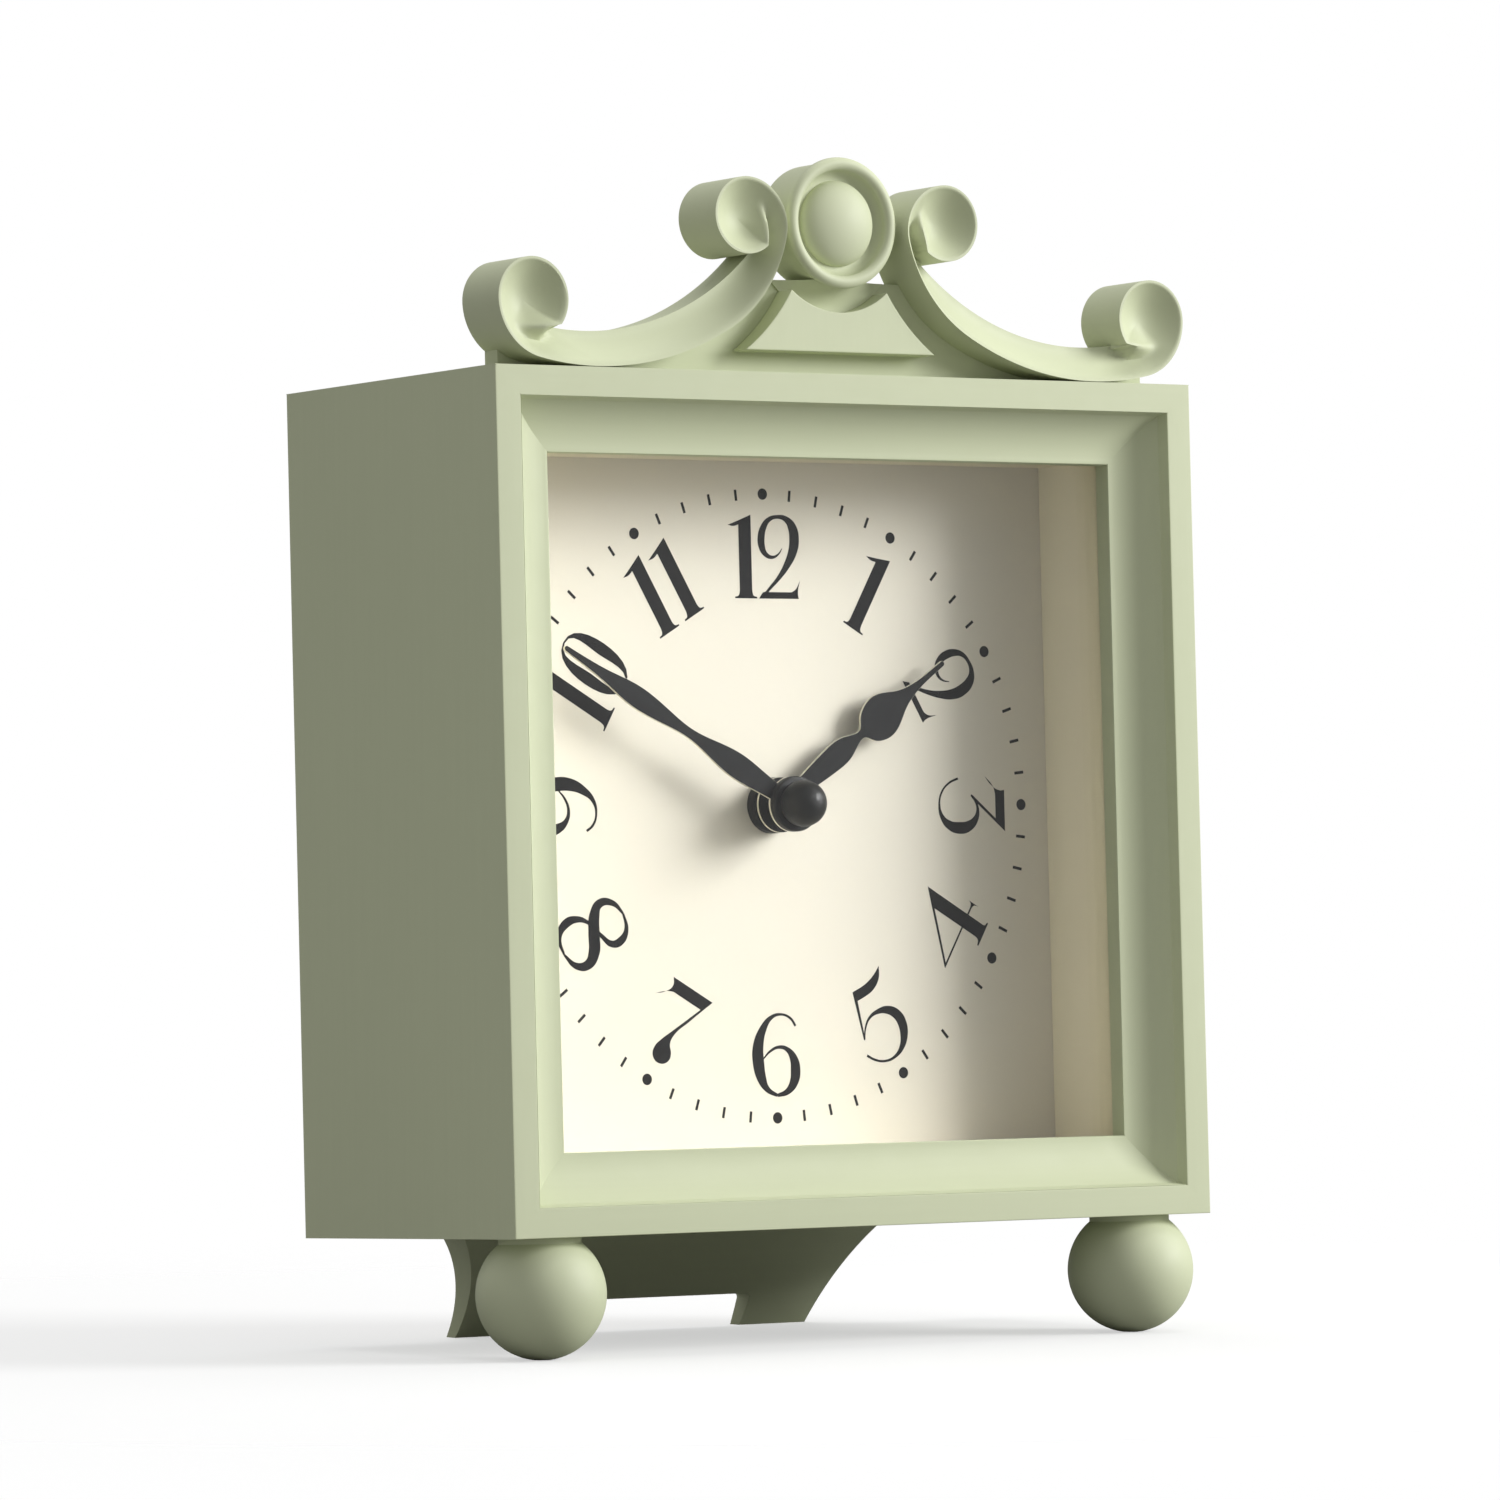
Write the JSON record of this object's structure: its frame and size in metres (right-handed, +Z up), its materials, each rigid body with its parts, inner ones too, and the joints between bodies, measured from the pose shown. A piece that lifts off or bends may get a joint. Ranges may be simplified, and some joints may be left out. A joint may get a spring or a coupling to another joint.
{
  "type": "mantel clock",
  "caption": "Square painted mantel clock with a scrolled crest, deep glazed dial, ball front feet and a swept rear stand.",
  "frame": {"origin": "middle of the clock's footprint box, on the surface it stands on", "axes": "+Z up, the dial faces -Y (leant back a little), +X to the right as seen from the front"},
  "size_m": [0.1502, 0.0812, 0.2099],
  "materials": {
    "sage_paint": "satin sage green paint over fibreboard",
    "cream_paint": "matt cream paint",
    "clear_glass": "clear polished",
    "dial_paper": "printed cream card",
    "fibreboard": "raw fine fibreboard",
    "beech": "plain beech",
    "plated_steel": "zinc plated",
    "black_plastic": "moulded, fine texture",
    "white_acetal": "moulded",
    "brass": "turned",
    "black_lacquer": "satin charcoal lacquer",
    "rubber": "soft",
    "battery_wrap": "printed wrap, plain",
    "copper_wire": "enamelled copper wire",
    "circuit_green": "solder mask"
  },
  "bodies": {
    "case": {"back_panel": "fibreboard", "back_screws": "plated_steel", "ball_foot_left": "sage_paint", "ball_foot_right": "sage_paint", "battery": "battery_wrap", "boss_collar": "sage_paint", "boss_dome": "sage_paint", "boss_ring": "sage_paint", "bush_nut": "black_lacquer", "bushing": "brass", "case_bottom": "sage_paint", "case_left": "sage_paint", "case_right": "sage_paint", "case_top": "sage_paint", "circuit_board": "circuit_green", "coil_core": "plated_steel", "contact_negative": "plated_steel", "contact_positive": "plated_steel", "corner_blocks": "fibreboard", "crest_backboard": "sage_paint", "crest_panel": "sage_paint", "crest_pegs": "beech", "dial_board": "fibreboard", "dial_face": "dial_paper", "drive_coil": "copper_wire", "foot_dowels": "beech", "glass_pane": "clear_glass", "liner_bottom": "cream_paint", "liner_left": "cream_paint", "liner_right": "cream_paint", "liner_top": "cream_paint", "moulding_bottom": "sage_paint", "moulding_left": "sage_paint", "moulding_right": "sage_paint", "moulding_top": "sage_paint", "movement_case": "black_plastic", "movement_cover": "black_plastic", "rear_stand": "sage_paint", "rubber_washer": "rubber", "scroll_left": "sage_paint", "scroll_right": "sage_paint", "stand_pegs": "beech", "train_plate": "white_acetal"},
    "minute_hand_set": {"minute_arbor": "brass", "minute_hand": "black_lacquer", "cap_nut": "black_lacquer"},
    "hour_hand_set": {"hour_wheel": "white_acetal", "hour_hand": "black_lacquer"},
    "setting_wheel": {"motion_wheel": "white_acetal", "set_knob": "black_plastic"}
  },
  "joints": [
    {"name": "minute_spin", "type": "hinge", "parent": "case", "child": "minute_hand_set", "pos_m": [0, -0.00941, 0.09554], "axis": [0, 0.9996, -0.0288], "continuous": true},
    {"name": "hour_spin", "type": "hinge", "parent": "case", "child": "hour_hand_set", "pos_m": [0, -0.00941, 0.09554], "axis": [0, 0.9996, -0.0288], "continuous": true},
    {"name": "knob_spin", "type": "hinge", "parent": "case", "child": "setting_wheel", "pos_m": [0, -0.00038, 0.10529], "axis": [0, 0.9996, -0.0288], "continuous": true}
  ],
  "couplings": [
    {"joint": "hour_spin", "follows": "minute_spin", "ratio": 0.083333},
    {"joint": "knob_spin", "follows": "minute_spin", "ratio": -0.33333}
  ]
}
